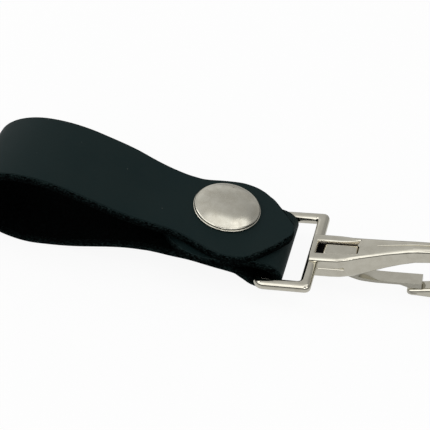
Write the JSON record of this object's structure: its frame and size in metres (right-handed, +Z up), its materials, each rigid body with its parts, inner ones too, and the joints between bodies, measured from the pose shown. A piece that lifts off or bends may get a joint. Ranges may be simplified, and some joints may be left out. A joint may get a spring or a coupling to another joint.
{
  "type": "leather key ring",
  "caption": "Leather belt-loop key holder: a strap folded round the bar of a metal frame and closed by a press snap, with a spring-gate hook for keys.",
  "frame": {"origin": "centre of the footprint, on the table the object lies on", "axes": "+X along the object towards the hook, +Y across the strap towards the side away from the camera, +Z up"},
  "size_m": [0.1081, 0.0242, 0.0192],
  "materials": {
    "leather": "smooth satin black leather with raw fibrous edges",
    "hook_metal": "polished nickel plate on a die casting",
    "snap_metal": "satin nickel plate, faintly mottled",
    "spring_steel": "bright spring wire"
  },
  "bodies": {
    "strap": {"strap_lower": "leather", "snap_stud": "snap_metal", "snap_post": "snap_metal"},
    "strap_top": {"strap_upper": "leather", "snap_cap": "snap_metal", "snap_socket": "snap_metal", "snap_ring_spring": "spring_steel"},
    "hook": {"hook_body": "hook_metal", "gate_pin": "spring_steel", "gate_spring": "spring_steel"},
    "gate": {"gate": "hook_metal"}
  },
  "joints": [
    {"name": "snap_open", "type": "hinge", "parent": "strap", "child": "strap_top", "pos_m": [-0.05398, 0, 0.0096], "axis": [0, -1, 0], "range_deg": [0, 35]},
    {"name": "hook_swing", "type": "hinge", "parent": "strap", "child": "hook", "pos_m": [0.01242, 0, 0.00362], "axis": [0, -1, 0], "range_deg": [-75, 75]},
    {"name": "gate_hinge", "type": "hinge", "parent": "hook", "child": "gate", "pos_m": [0.02642, 0, 0.00487], "axis": [0, -1, 0], "range_deg": [0, 14], "stiffness_Nm_per_rad": 0.02, "springref_deg": -5.73, "deforming": ["gate_spring"]}
  ]
}
